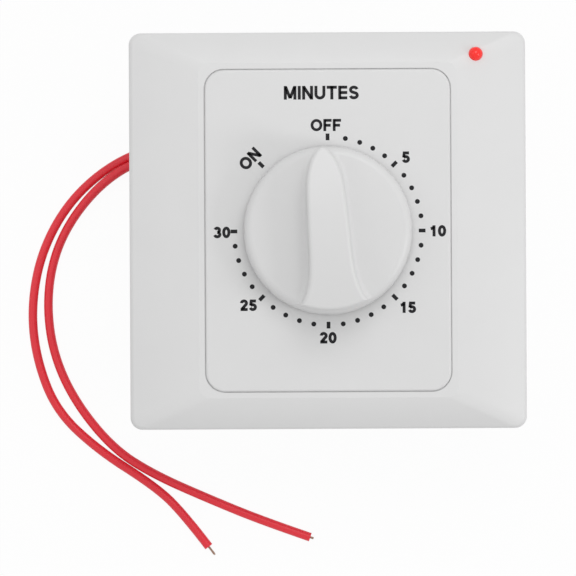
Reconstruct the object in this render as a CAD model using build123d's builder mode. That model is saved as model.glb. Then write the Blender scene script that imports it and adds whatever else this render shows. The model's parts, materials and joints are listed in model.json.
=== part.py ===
from build123d import *
import os
from math import cos, hypot, radians, sin, tan

# Timer light switch: a square wall plate with a snapped-on cover, a pointer knob and a pilot lamp,
# and behind it a clockwork movement in its case that opens and closes a pair of contacts.
# Lengths are millimetres and angles degrees. The origin is the middle of the plate's back rim,
# the wall is the plane z = 0, +Z points out of the wall and +Y points to the OFF mark.

os.makedirs("parts", exist_ok=True)

# Clearances and overruns that every piece shares
fit_gap = 0.05
running_gap = 0.06
screw_gap = 0.02
cut_over = 1.0

# Wall plate
plate_side = 86.0
plate_corner = 2.6
plate_wall = 2.0
plate_height = 9.0
plate_edge = 5.0
plate_edge_round = 1.3
slope_crown = 0.45
margin_width = 1.2
margin_corner = 2.2
recess_floor = 4.4
floor_thickness = 2.2
tub_wall = 1.8
rib_thickness = 1.2
rib_setback = 0.6
rib_pitch = 21.0

# Screws that hold the plate to the wall box
wall_screw_spacing = 60.3
wall_slot_width = 4.2
wall_slot_length = 7.0
wall_slot_rim = 1.6

# Cover that snaps into the plate
cover_width = 53.0
cover_length = 69.5
cover_corner = 4.2
cover_thickness = 2.0
cover_gap = 0.2
cover_proud = 0.3
ledge_width = 1.0
ledge_depth = 0.45
cover_edge_round = 0.5
cover_shaft_hole = 9.0
cover_post_radius = 1.6
cover_post_x = 20.5
cover_post_y = 27.5
hook_width = 5.0
hook_thickness = 1.2
hook_reach = 0.6
hook_height = 1.2
hook_y = 18.0
hook_window_gap = 0.3

# Pilot lamp
lamp_x = 32.1
lamp_y = 38.0
lamp_radius = 1.48
lamp_barrel = 2.0
lamp_flange_radius = 1.95
lamp_flange = 1.0
lamp_seat = 6.0
lamp_boss_wall = 1.2
lamp_plug_height = 2.2
lamp_plug_wall = 0.4
lamp_leg_radius = 0.25
lamp_leg_spacing = 2.0
lamp_leg_length = 4.4
wire_radius = 0.5
wire_drop = 3.6
wire_corner_x = 16.0
wire_standoff = 5.3
wire_spacing = 2.0
wire_hole_gap = 0.2
resistor_x = 2.0
resistor_radius = 1.2
resistor_length = 7.0
resistor_round = 0.4

# Knob
knob_radius = 18.2
knob_draft = 0.35
knob_gap = 0.6
knob_face_height = 7.0
knob_dome_radius = 250.0
knob_edge_round = 1.8
knob_height = 14.5
knob_wall = 2.0
knob_cavity = 4.3
knob_hub_radius = 5.4
knob_rib_count = 6
knob_bore_depth = 10.5
knob_bore_gap = 0.05
knob_rest_turn = 4.3
grip_tip = 17.6
grip_heel_radius = 17.1
grip_crown_radius = 70.0
grip_edge_round = 0.8
grip_foot_round = 1.2
clip_thickness = 0.4
clip_width = 4.0
clip_height = 7.0

# Half widths of the knob's grip, at distances from its centre toward the tip
grip_outline = (
    (16.7, 1.4),
    (14.2, 2.9),
    (11.0, 3.75),
    (6.7, 4.1),
    (0.0, 4.37),
    (-7.3, 4.65),
    (-12.0, 5.4),
    (-15.6, 7.1),
)

# Shaft through the movement
shaft_radius = 3.0
shaft_flat = 1.5
shaft_top_gap = 0.4
front_journal_radius = 2.2
arbor_radius = 2.8
rear_journal_radius = 2.0
cam_flat = 1.4

# Case of the movement, behind the plate
case_width = 58.0
case_length = 46.0
bracket_thickness = 1.2
bracket_inset = 2.0
bracket_width = case_width - 2 * bracket_inset
bracket_length = case_length - 2 * bracket_inset
bracket_corner = 3.0
case_corner = 2.0
case_wall = 1.6
case_depth = 28.0
case_room = 0.6
lid_thickness = 2.0
lid_boss_radius = 5.8
lid_boss_height = 4.8
boss_gap = 0.2
movement_screw_x = 17.0
movement_screw_radius = 1.5
movement_screw_head_radius = 2.8
movement_screw_head = 1.9
movement_collar_radius = 2.5
movement_collar = 1.4
case_screw_inset = 2.4
case_screw_x = bracket_width / 2 - case_screw_inset
case_screw_y = 13.5
case_screw_lead_y = 9.0
case_screw_radius = 1.25
case_screw_head_radius = 2.4
case_screw_head = 1.8
case_sink_depth = 2.0
case_boss_radius = 3.2
screw_slot_width = 0.7
screw_slot_depth = 0.8

# Clockwork between two brass plates
lid_stud_height = 2.6
clock_plate = 1.0
clock_plate_side_room = 5.2
clock_plate_end_room = 1.0
clock_plate_width = case_width - 2 * case_wall - 2 * clock_plate_side_room
clock_plate_length = case_length - 2 * case_wall - 2 * clock_plate_end_room
clock_plate_corner = 2.0
clock_gap = 12.4
pillar_inset = 1.9
pillar_x = clock_plate_width / 2 - pillar_inset
pillar_y = clock_plate_length / 2 - pillar_inset
pillar_radius = 1.8
spigot_radius = 1.0
pillar_nut_width = 3.6
pillar_nut = 1.2
boss_notch_gap = 0.4
staff_radius = 0.8
pivot_radius = 0.45
pivot_overhang = 0.5
thin_staff_radius = 0.6

# Wheel train, from the arbor to the escape wheel
pinion_teeth = 8
main_teeth = 72
main_module = 0.4
main_thickness = 1.0
second_teeth = 56
third_teeth = 40
fine_module = 0.3
train_thickness = 0.6
pinion_extra = 0.2
escape_teeth = 20
escape_tip_radius = 4.4
escape_root_radius = 3.5
second_bearing = -25.0
third_bearing = 81.0
escape_bearing = 112.0
balance_bearing = 120.0

# Depth of each wheel below the front clock plate's back face
escape_level = 0.4
third_level = 1.6
second_level = 3.0
main_level = 4.4
ratchet_level = 5.6
spring_level = 7.0
balance_level = 7.9

# Shapes of teeth: (height over the pitch line in modules, half width as a share of the pitch)
wheel_tooth_shares = ((-1.25, 0.26), (0.0, 0.225), (1.0, 0.07))
leaf_tooth_shares = ((-1.3, 0.16), (0.0, 0.19), (0.7, 0.12))

# Ratchet, click and mainspring
ratchet_teeth = 16
ratchet_radius = 6.0
ratchet_root_radius = 5.0
ratchet_thickness = 0.8
click_nose_radius = 0.35
click_nose_turn = 5.5
click_pivot_radius = 9.5
click_pivot_turn = 25.0
click_eye_radius = 1.4
click_stud_radius = 0.7
click_head_radius = 1.1
click_head = 0.3
click_spring_thickness = 0.3
click_spring_radius = 10.0
click_spring_turn = 45.0
click_spring_bow = 1.2
click_touch_share = 0.2
spring_strip = 0.4
spring_width = 5.0
spring_pitch = 1.1
spring_half_turns = 17
spring_post_foot_radius = 0.8
spring_post_x = 15.9
spring_post_y = 3.4
spring_post_radius = 1.0

# Balance and pallets
balance_radius = 4.4
balance_rim = 1.0
balance_thickness = 0.8
balance_bar = 1.2
pallet_angle = 40.0
pallet_orbit = 5.2
pallet_pin_radius = 0.3
pallet_hub_radius = 1.5
pallet_arm_half = 0.7
pallet_gap = 0.5

# Cam and contacts behind the clockwork
cam_gap = 1.5
cam_thickness = 4.0
cam_radius = 9.0
cam_notch_radius = 7.3
cam_notch_half = 18.0
cam_notch_foot_half = 11.0
arbor_tail = 1.0
leaf_x = 10.2
moving_leaf_thickness = 0.35
fixed_leaf_x = 13.0
fixed_leaf_thickness = 0.5
leaf_low_y = 9.5
leaf_bump = 2.1
leaf_bump_half = 2.0
contact_y = 7.5
contact_radius = 1.5
contact_thickness = 0.6
block_low_y = 8.0
block_high_y = 15.0
block_inner_x = 7.4
block_outer_x = 20.8
block_depth = 7.0
block_peg_x = 8.8
block_peg_radius = 0.8
block_screw_x = 18.4
block_screw_radius = 1.25
block_screw_head_radius = 2.3
block_screw_head = 1.5
tab_reach = 3.1
moving_tab_y = 20.9
fixed_tab_y = 17.9

# Leads
lead_radius = 1.0
conductor_radius = 0.4
lead_a_y = 19.2
lead_b_y = 16.9
lead_height = 3.5
lead_b_drop = 0.9
grommet_wall = 0.5
grommet_flange = 0.8
grommet_flange_wall = 0.6
bare_length_a = 2.3
bare_length_b = 0.8
bend_share = 0.45

# Heights worked out from the sizes above
cover_top = plate_height + cover_proud
cover_bottom = cover_top - cover_thickness
ledge_top = plate_height - ledge_depth
floor_bottom = recess_floor - floor_thickness
bracket_bottom = floor_bottom - bracket_thickness
lid_bottom = bracket_bottom - lid_thickness
case_rear = lid_bottom - case_depth
case_inside = case_rear + case_wall
front_plate_top = lid_bottom - lid_stud_height
front_plate_bottom = front_plate_top - clock_plate
back_plate_top = front_plate_bottom - clock_gap
back_plate_bottom = back_plate_top - clock_plate
cam_top = back_plate_bottom - cam_gap
cam_bottom = cam_top - cam_thickness
knob_bottom = cover_top + knob_gap
lead_z = case_rear + lead_height
lead_lie = case_rear + lead_radius


def polar(radius, bearing, centre=(0, 0)):
    """The point at a distance and bearing from a centre."""
    angle = radians(bearing)
    return centre[0] + radius * cos(angle), centre[1] + radius * sin(angle)


def level(height, turn=0):
    """A horizontal sketch plane at a height, turned about the knob's axis."""
    return Plane((0, 0, height)).rotated((0, 0, turn))


def toothed_points(teeth, module, shares, turn):
    """Corners of a toothed wheel with one tooth at a turn from the X axis, going once round."""
    pitch_radius = teeth * module / 2
    step = 360 / teeth
    profile = [(rise, -half) for rise, half in shares] + [(rise, half) for rise, half in reversed(shares)]
    return [
        polar(pitch_radius + rise * module, turn + (n + side) * step)
        for n in range(teeth)
        for rise, side in profile
    ]


def saw_points(teeth, tip_radius, root_radius):
    """Corners of a ratchet or escape wheel whose teeth have one radial side."""
    step = 360 / teeth
    return [polar(radius, n * step) for n in range(teeth) for radius in (tip_radius, root_radius)]


def bend_radii(points):
    """One bend radius for each inner corner of a route, from its two runs and its turn."""
    radii = []
    for before, corner, after in zip(points, points[1:], points[2:]):
        run_in = Vector(*corner) - Vector(*before)
        run_out = Vector(*after) - Vector(*corner)
        half_turn = radians(run_in.get_angle(run_out)) / 2
        radii.append(bend_share * min(run_in.length, run_out.length) / tan(half_turn))
    return radii


def round_bar(radius, low, high, centre=(0, 0), mode=Mode.ADD):
    """A round upright bar, or bore, between two heights of the piece being built."""
    with Locations((centre[0], centre[1], low)):
        Cylinder(radius, high - low, align=(Align.CENTER, Align.CENTER, Align.MIN), mode=mode)


# Places of the train's staffs, each at its mesh distance from the one before
main_mesh = (main_teeth + pinion_teeth) * main_module / 2
second_mesh = (second_teeth + pinion_teeth) * fine_module / 2
third_mesh = (third_teeth + pinion_teeth) * fine_module / 2
pallet_mesh = pallet_orbit / cos(radians(pallet_angle))
second_centre = polar(main_mesh, second_bearing)
third_centre = polar(second_mesh, third_bearing, second_centre)
escape_centre = polar(third_mesh, escape_bearing, third_centre)
balance_centre = polar(pallet_mesh, balance_bearing, escape_centre)
pinion_turn = 180 + 180 / pinion_teeth
case_screw_places = (
    (-case_screw_x, -case_screw_y),
    (case_screw_x, -case_screw_y),
    (case_screw_x, case_screw_y),
    (-case_screw_x, case_screw_lead_y),
)
pillar_places = [(x, y) for x in (-pillar_x, pillar_x) for y in (-pillar_y, pillar_y)]
pivot_places = (second_centre, third_centre, escape_centre, balance_centre)
spring_post_place = (-spring_post_x, -spring_post_y)

# Wall plate: outside, hollow and ribs, then one moulding from them
recess_width = cover_width + 2 * cover_gap
recess_length = cover_length + 2 * cover_gap
recess_corner = cover_corner + cover_gap
well_width = recess_width - 2 * ledge_width
well_length = recess_length - 2 * ledge_width
well_corner = recess_corner - ledge_width
margin_outer_width = recess_width + 2 * margin_width
margin_outer_length = recess_length + 2 * margin_width
slope_middle_width = (plate_side + margin_outer_width) / 2
slope_middle_length = (plate_side + margin_outer_length) / 2
slope_middle_height = (plate_edge + plate_height) / 2 + slope_crown

with BuildPart() as plate_block:
    with BuildSketch():
        RectangleRounded(plate_side, plate_side, plate_corner)
    extrude(amount=plate_edge)
    with BuildSketch(level(plate_edge)):
        RectangleRounded(plate_side, plate_side, plate_corner)
    with BuildSketch(level(slope_middle_height)):
        RectangleRounded(slope_middle_width, slope_middle_length, (plate_corner + margin_corner) / 2)
    with BuildSketch(level(plate_height)):
        RectangleRounded(margin_outer_width, margin_outer_length, margin_corner)
    loft()
    fillet(plate_block.edges().filter_by_position(Axis.Z, plate_edge, plate_edge), plate_edge_round)

with BuildPart() as plate_hollow:
    with BuildSketch(level(-cut_over)):
        RectangleRounded(plate_side - 2 * plate_wall, plate_side - 2 * plate_wall, plate_corner / 2)
    extrude(amount=cut_over + plate_edge - plate_wall)
    with BuildSketch(level(plate_edge - plate_wall)):
        RectangleRounded(plate_side - 2 * plate_wall, plate_side - 2 * plate_wall, plate_corner / 2)
    with BuildSketch(level(plate_height - plate_wall)):
        RectangleRounded(margin_outer_width, margin_outer_length, plate_corner / 2)
    loft(ruled=True)

with BuildPart() as plate_ribs:
    with BuildSketch(level(rib_setback)):
        with GridLocations(0, rib_pitch, 1, 3):
            Rectangle(plate_side, rib_thickness)
        with GridLocations(rib_pitch, 0, 3, 1):
            Rectangle(rib_thickness, plate_side)
    extrude(amount=plate_height)
    with BuildSketch(level(0)):
        with Locations((lamp_x, lamp_y)):
            Circle(lamp_flange_radius + fit_gap + lamp_boss_wall)
    extrude(amount=plate_height)
    add(plate_hollow.part, mode=Mode.INTERSECT)

with BuildPart() as face_plate:
    add(plate_block.part)
    add(plate_hollow.part, mode=Mode.SUBTRACT)
    add(plate_ribs.part)
    # The tub that holds the cover
    with BuildSketch(level(floor_bottom)):
        RectangleRounded(well_width + 2 * tub_wall, well_length + 2 * tub_wall, well_corner + tub_wall)
    extrude(amount=ledge_top - floor_bottom)
    # Clear the ribs away behind the tub's floor, where the movement goes
    with BuildSketch(level(-cut_over)):
        Rectangle(case_width + 2 * case_room, recess_length + 2 * tub_wall)
    extrude(amount=cut_over + floor_bottom, mode=Mode.SUBTRACT)
    # Rims round the screw slots, down to the wall
    with BuildSketch():
        with GridLocations(0, wall_screw_spacing, 1, 2):
            SlotOverall(
                wall_slot_length + 2 * wall_slot_rim, wall_slot_width + 2 * wall_slot_rim, rotation=90
            )
    extrude(amount=floor_bottom)
    # The recess for the cover, with a ledge round it that the cover's edge rests on
    with BuildSketch(level(ledge_top)):
        RectangleRounded(recess_width, recess_length, recess_corner)
    extrude(amount=plate_height, mode=Mode.SUBTRACT)
    with BuildSketch(level(recess_floor)):
        RectangleRounded(well_width, well_length, well_corner)
    extrude(amount=plate_height, mode=Mode.SUBTRACT)
    # Slots, shaft hole and movement screw holes through the floor
    with BuildSketch(level(-cut_over)):
        with GridLocations(0, wall_screw_spacing, 1, 2):
            SlotOverall(wall_slot_length, wall_slot_width, rotation=90)
        Circle(lid_boss_radius + boss_gap)
        with GridLocations(2 * movement_screw_x, 0, 2, 1):
            Circle(movement_screw_radius + boss_gap)
    extrude(amount=cut_over + plate_height, mode=Mode.SUBTRACT)
    # Windows in the tub's sides for the cover's hooks
    with BuildSketch(level(recess_floor)):
        with GridLocations(well_width + tub_wall, 2 * hook_y, 2, 2):
            Rectangle(tub_wall + 2 * hook_window_gap, hook_width + 2 * hook_window_gap)
    extrude(amount=hook_height + 2 * hook_window_gap, mode=Mode.SUBTRACT)
    # Seat and hole for the lamp
    with BuildSketch(level(-cut_over)):
        with Locations((lamp_x, lamp_y)):
            Circle(lamp_flange_radius + fit_gap)
    extrude(amount=cut_over + lamp_seat, mode=Mode.SUBTRACT)
    with BuildSketch(level(lamp_seat)):
        with Locations((lamp_x, lamp_y)):
            Circle(lamp_radius + fit_gap)
    extrude(amount=plate_height, mode=Mode.SUBTRACT)
face_plate.part.label = "face_plate"
export_step(face_plate.part, "parts/face_plate.step")

# Snap-on cover, with posts that stand on the tub's floor and hooks that catch in its windows
hook_x = well_width / 2 - cover_gap - fit_gap - hook_thickness / 2
with BuildPart() as cover_plate:
    with BuildSketch(level(ledge_top)):
        RectangleRounded(cover_width, cover_length, cover_corner)
    extrude(amount=cover_top - ledge_top)
    fillet(cover_plate.edges().filter_by_position(Axis.Z, cover_top, cover_top), cover_edge_round)
    with BuildSketch(level(cover_bottom)):
        RectangleRounded(well_width - 2 * cover_gap, well_length - 2 * cover_gap, well_corner - cover_gap)
    extrude(amount=ledge_top - cover_bottom)
    with BuildSketch(level(recess_floor)):
        with GridLocations(2 * cover_post_x, 2 * cover_post_y, 2, 2):
            Circle(cover_post_radius)
    extrude(amount=cover_bottom - recess_floor)
    with BuildSketch(level(recess_floor + hook_window_gap)):
        with GridLocations(2 * hook_x, 2 * hook_y, 2, 2):
            Rectangle(hook_thickness, hook_width)
    extrude(amount=cover_bottom - recess_floor - hook_window_gap)
    with BuildSketch(level(recess_floor + hook_window_gap)):
        with GridLocations(2 * hook_x + hook_thickness + hook_reach, 2 * hook_y, 2, 2):
            Rectangle(hook_reach, hook_width)
    extrude(amount=hook_height)
    with BuildSketch(level(cover_bottom - cut_over)):
        Circle(cover_shaft_hole / 2)
    extrude(amount=cover_thickness + 2 * cut_over, mode=Mode.SUBTRACT)
cover_plate.part.label = "cover_plate"
export_step(cover_plate.part, "parts/cover_plate.step")

# Pilot lamp: a domed lens with a flange, its two legs, and the ring that holds it
lamp_place = (lamp_x, lamp_y)
lamp_flange_low = lamp_seat - lamp_flange
lamp_leg_low = lamp_flange_low - lamp_leg_length
with BuildPart() as lamp_lens:
    round_bar(lamp_flange_radius, lamp_flange_low, lamp_seat, lamp_place)
    round_bar(lamp_radius, lamp_seat, lamp_seat + lamp_barrel, lamp_place)
    with Locations((lamp_x, lamp_y, lamp_seat + lamp_barrel)):
        Sphere(lamp_radius)
lamp_lens.part.label = "lamp_lens"
export_step(lamp_lens.part, "parts/lamp_lens.step")

with BuildPart() as lamp_legs:
    for side in (-1, 1):
        leg_place = (lamp_x + side * lamp_leg_spacing / 2, lamp_y)
        round_bar(lamp_leg_radius, lamp_leg_low, lamp_flange_low, leg_place)
lamp_legs.part.label = "lamp_legs"
export_step(lamp_legs.part, "parts/lamp_legs.step")

with BuildPart() as lamp_holder:
    holder_low = lamp_flange_low - lamp_plug_height
    round_bar(lamp_flange_radius, holder_low, lamp_flange_low, lamp_place)
    round_bar(lamp_flange_radius - lamp_plug_wall, holder_low, lamp_flange_low, lamp_place, Mode.SUBTRACT)
lamp_holder.part.label = "lamp_holder"
export_step(lamp_holder.part, "parts/lamp_holder.step")

# Wires from the lamp to the leaves' tabs, one of them through a sleeved resistor
contact_z = (cam_top + cam_bottom) / 2
wire_a_y = case_length / 2 + wire_standoff
wire_b_y = wire_a_y + wire_spacing
wire_a_x = lamp_x - lamp_leg_spacing / 2
wire_b_x = lamp_x + lamp_leg_spacing / 2
resistor_high_x = resistor_x + resistor_length / 2
resistor_low_x = resistor_x - resistor_length / 2
wire_a_first = [
    (wire_a_x, lamp_y, lamp_leg_low),
    (wire_a_x, lamp_y, lamp_leg_low - wire_drop),
    (wire_corner_x, wire_a_y, contact_z),
    (resistor_high_x, wire_a_y, contact_z),
]
wire_a_second = [
    (resistor_low_x, wire_a_y, contact_z),
    (-leaf_x, wire_a_y, contact_z),
    (-leaf_x, moving_tab_y, contact_z),
]
wire_b_route = [
    (wire_b_x, lamp_y, lamp_leg_low),
    (wire_b_x, lamp_y, lamp_leg_low - wire_drop),
    (wire_corner_x + lamp_leg_spacing, wire_b_y, contact_z),
    (-fixed_leaf_x, wire_b_y, contact_z),
    (-fixed_leaf_x, fixed_tab_y, contact_z),
]
with BuildPart() as lamp_wire_a:
    with BuildLine() as wire_path:
        FilletPolyline(*wire_a_first, radius=bend_radii(wire_a_first))
    with BuildSketch(Plane(wire_a_first[0], z_dir=(0, 0, -1))):
        Circle(wire_radius)
    sweep(path=wire_path.line)
    with BuildLine() as wire_path:
        FilletPolyline(*wire_a_second, radius=bend_radii(wire_a_second))
    with BuildSketch(Plane(wire_a_second[0], z_dir=(-1, 0, 0))):
        Circle(wire_radius)
    sweep(path=wire_path.line)
lamp_wire_a.part.label = "lamp_wire_a"
export_step(lamp_wire_a.part, "parts/lamp_wire_a.step")

with BuildPart() as lamp_wire_b:
    with BuildLine() as wire_path:
        FilletPolyline(*wire_b_route, radius=bend_radii(wire_b_route))
    with BuildSketch(Plane(wire_b_route[0], z_dir=(0, 0, -1))):
        Circle(wire_radius)
    sweep(path=wire_path.line)
lamp_wire_b.part.label = "lamp_wire_b"
export_step(lamp_wire_b.part, "parts/lamp_wire_b.step")

with BuildPart() as lamp_resistor:
    with BuildSketch(Plane((resistor_low_x, wire_a_y, contact_z), z_dir=(1, 0, 0))):
        Circle(resistor_radius)
    extrude(amount=resistor_length)
    fillet(lamp_resistor.edges().filter_by(GeomType.CIRCLE), resistor_round)
lamp_resistor.part.label = "lamp_resistor"
export_step(lamp_resistor.part, "parts/lamp_resistor.step")

# Knob: a turned body with a slightly domed face, a grip across it, and a hub with ribs below
knob_face_top = knob_bottom + knob_face_height
dome_centre = knob_face_top - knob_dome_radius
dome_rim_radius = knob_radius - knob_draft
dome_rim = dome_centre + (knob_dome_radius**2 - dome_rim_radius**2) ** 0.5
dome_middle_radius = dome_rim_radius / 2
dome_middle = dome_centre + (knob_dome_radius**2 - dome_middle_radius**2) ** 0.5
cavity_top = knob_bottom + knob_cavity
bore_flat = shaft_flat + clip_thickness
with BuildPart() as knob_body:
    with BuildSketch(Plane.XZ) as knob_section:
        with BuildLine():
            Polyline(
                (0, knob_face_top), (0, knob_bottom), (knob_radius, knob_bottom), (dome_rim_radius, dome_rim)
            )
            ThreePointArc((0, knob_face_top), (dome_middle_radius, dome_middle), (dome_rim_radius, dome_rim))
        make_face()
        fillet(knob_section.vertices().sort_by(Axis.Y)[-2], knob_edge_round)
    revolve(axis=Axis.Z)

with BuildPart() as knob_grip:
    with BuildSketch(level(cavity_top, knob_rest_turn)):
        with BuildLine():
            Spline(*[(half, along) for along, half in grip_outline])
            Spline(*[(-half, along) for along, half in grip_outline])
            ThreePointArc(
                (-grip_outline[0][1], grip_outline[0][0]), (0, grip_tip), (grip_outline[0][1], grip_outline[0][0])
            )
            ThreePointArc(
                (-grip_outline[-1][1], grip_outline[-1][0]),
                (0, -grip_heel_radius),
                (grip_outline[-1][1], grip_outline[-1][0]),
            )
        make_face()
    extrude(amount=knob_height)
    # Crown the top along the grip
    with BuildSketch(Plane((0, 0, knob_bottom + knob_height - grip_crown_radius), z_dir=(1, 0, 0))):
        Circle(grip_crown_radius)
    extrude(amount=knob_radius, both=True, mode=Mode.INTERSECT)
    fillet(knob_grip.faces().sort_by(Axis.Z)[-1].edges(), grip_edge_round)

with BuildPart() as knob:
    add(knob_body.part)
    add(knob_grip.part)
    fillet(new_edges(knob_body.part, knob_grip.part, combined=knob.part), grip_foot_round)
    # Hollow underside with a hub and ribs left standing
    with BuildSketch(level(knob_bottom, knob_rest_turn)):
        Circle(knob_radius - knob_wall)
        Circle(knob_hub_radius, mode=Mode.SUBTRACT)
        with PolarLocations(0, knob_rib_count):
            with Locations((knob_radius / 2, 0)):
                Rectangle(knob_radius, rib_thickness, mode=Mode.SUBTRACT)
    extrude(amount=knob_cavity, mode=Mode.SUBTRACT)
    with BuildSketch(level(knob_bottom, knob_rest_turn)):
        Circle(knob_radius - knob_wall)
        Circle(knob_hub_radius, mode=Mode.SUBTRACT)
    extrude(amount=rib_setback, mode=Mode.SUBTRACT)
    # Bore with a flat for the clip
    with BuildSketch(level(knob_bottom, knob_rest_turn)):
        Circle(shaft_radius + knob_bore_gap)
        with Locations((0, -bore_flat - shaft_radius)):
            Rectangle(3 * shaft_radius, 2 * shaft_radius, mode=Mode.SUBTRACT)
    extrude(amount=knob_bore_depth, mode=Mode.SUBTRACT)
knob.part.label = "knob"
export_step(knob.part, "parts/knob.step")

# Spring clip between the shaft's flat and the bore's flat
with BuildPart() as knob_clip:
    with BuildSketch(level(knob_bottom + cut_over, knob_rest_turn)):
        with Locations((0, -(shaft_flat + bore_flat) / 2)):
            Rectangle(clip_width, clip_thickness)
    extrude(amount=clip_height)
knob_clip.part.label = "knob_clip"
export_step(knob_clip.part, "parts/knob_clip.step")

# Steel bracket behind the plate, with tapped collars for the movement screws
collar_low = bracket_bottom - movement_collar
with BuildPart() as mount_bracket:
    with BuildSketch(level(bracket_bottom)):
        RectangleRounded(bracket_width, bracket_length, bracket_corner)
    extrude(amount=bracket_thickness)
    for side in (-1, 1):
        collar_place = (side * movement_screw_x, 0)
        round_bar(movement_collar_radius, collar_low, bracket_bottom, collar_place)
        round_bar(movement_screw_radius + screw_gap, collar_low, floor_bottom, collar_place, Mode.SUBTRACT)
    round_bar(lid_boss_radius + boss_gap, bracket_bottom, floor_bottom, mode=Mode.SUBTRACT)
    for place in case_screw_places:
        round_bar(case_screw_radius + screw_gap, bracket_bottom, floor_bottom, place, Mode.SUBTRACT)
mount_bracket.part.label = "mount_bracket"
export_step(mount_bracket.part, "parts/mount_bracket.step")

# Two slotted screws from the recess into the bracket
movement_head_top = recess_floor + movement_screw_head
with BuildPart() as movement_screws:
    for side in (-1, 1):
        screw_place = (side * movement_screw_x, 0)
        round_bar(movement_screw_radius, collar_low, recess_floor, screw_place)
        round_bar(movement_screw_head_radius, recess_floor, movement_head_top, screw_place)
    with BuildSketch(level(movement_head_top)):
        with GridLocations(2 * movement_screw_x, 0, 2, 1):
            Rectangle(2 * movement_screw_head_radius, screw_slot_width)
    extrude(amount=-screw_slot_depth, mode=Mode.SUBTRACT)
movement_screws.part.label = "movement_screws"
export_step(movement_screws.part, "parts/movement_screws.step")

# Case lid, with the shaft's bushing in front and the studs for the clockwork behind
lid_boss_top = bracket_bottom + lid_boss_height
spigot_top = front_plate_top + lid_stud_height - 2 * boss_gap
with BuildPart() as case_lid:
    with BuildSketch(level(lid_bottom)):
        RectangleRounded(case_width, case_length, case_corner)
    extrude(amount=lid_thickness)
    round_bar(lid_boss_radius, bracket_bottom, lid_boss_top)
    for place in pillar_places:
        round_bar(pillar_radius + rib_setback, front_plate_top, lid_bottom, place)
        round_bar(spigot_radius + screw_gap, front_plate_top, lid_bottom, place, Mode.SUBTRACT)
    round_bar(shaft_radius + running_gap, lid_bottom, lid_boss_top, mode=Mode.SUBTRACT)
    for side in (-1, 1):
        pocket_place = (side * movement_screw_x, 0)
        pocket_low = collar_low - boss_gap
        pocket_radius = movement_collar_radius + 2 * boss_gap
        round_bar(pocket_radius, pocket_low, bracket_bottom, pocket_place, Mode.SUBTRACT)
    for place in case_screw_places:
        round_bar(case_screw_radius + boss_gap, lid_bottom, bracket_bottom, place, Mode.SUBTRACT)
case_lid.part.label = "case_lid"
export_step(case_lid.part, "parts/case_lid.step")

# Case body, with bosses for its screws and holes for the leads and the lamp's wires
inner_width = case_width - 2 * case_wall
inner_length = case_length - 2 * case_wall
sink_top = case_rear + case_sink_depth
lead_middle_y = (lead_a_y + lead_b_y) / 2
lead_spacing = lead_a_y - lead_b_y
grommet_radius = lead_radius + screw_gap + grommet_wall
with BuildPart() as case_body:
    with BuildSketch(level(case_rear)):
        RectangleRounded(case_width, case_length, case_corner)
    extrude(amount=case_depth)
    with BuildSketch(level(case_inside)):
        RectangleRounded(inner_width, inner_length, case_corner - case_wall)
    extrude(amount=case_depth, mode=Mode.SUBTRACT)
    with BuildSketch(level(case_inside)):
        with Locations(*case_screw_places):
            Circle(case_boss_radius)
    extrude(amount=lid_bottom - case_inside)
    with BuildSketch(level(case_rear)):
        with Locations(*case_screw_places):
            Circle(case_screw_radius + boss_gap)
    extrude(amount=case_depth, mode=Mode.SUBTRACT)
    with BuildSketch(level(case_rear)):
        with Locations(*case_screw_places):
            Circle(case_screw_head_radius + boss_gap)
    extrude(amount=case_sink_depth, mode=Mode.SUBTRACT)
    with BuildSketch(Plane((-case_width / 2, lead_middle_y, lead_z), x_dir=(0, 1, 0), z_dir=(1, 0, 0))):
        SlotCenterToCenter(lead_spacing, 2 * (grommet_radius + screw_gap))
    extrude(amount=case_wall, mode=Mode.SUBTRACT)
    for wire_x in (-leaf_x, -fixed_leaf_x):
        with BuildSketch(Plane((wire_x, case_length / 2, contact_z), z_dir=(0, -1, 0))):
            Circle(wire_radius + wire_hole_gap)
        extrude(amount=case_wall, mode=Mode.SUBTRACT)
case_body.part.label = "case_body"
export_step(case_body.part, "parts/case_body.step")

# Four long screws from the case's rear into the bracket
case_head_low = sink_top - case_screw_head
with BuildPart() as case_screws:
    for place in case_screw_places:
        round_bar(case_screw_radius, sink_top, floor_bottom - boss_gap, place)
        round_bar(case_screw_head_radius, case_head_low, sink_top, place)
    with BuildSketch(level(case_head_low)):
        with Locations(*case_screw_places):
            Rectangle(2 * case_screw_head_radius, screw_slot_width)
    extrude(amount=screw_slot_depth, mode=Mode.SUBTRACT)
case_screws.part.label = "case_screws"
export_step(case_screws.part, "parts/case_screws.step")

# Rubber grommet in the case's side
grommet_face_x = -case_width / 2 - grommet_flange
with BuildPart() as lead_grommet:
    with BuildSketch(Plane((grommet_face_x, lead_middle_y, lead_z), x_dir=(0, 1, 0), z_dir=(1, 0, 0))):
        SlotCenterToCenter(lead_spacing, 2 * (grommet_radius + grommet_flange_wall))
    extrude(amount=grommet_flange)
    with BuildSketch(Plane((grommet_face_x, lead_middle_y, lead_z), x_dir=(0, 1, 0), z_dir=(1, 0, 0))):
        SlotCenterToCenter(lead_spacing, 2 * grommet_radius)
    extrude(amount=grommet_flange + case_wall)
    with BuildSketch(Plane((grommet_face_x, lead_middle_y, lead_z), x_dir=(0, 1, 0), z_dir=(1, 0, 0))):
        with GridLocations(lead_spacing, 0, 2, 1):
            Circle(lead_radius + screw_gap)
    extrude(amount=grommet_flange + case_wall, mode=Mode.SUBTRACT)
lead_grommet.part.label = "lead_grommet"
export_step(lead_grommet.part, "parts/lead_grommet.step")

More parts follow.
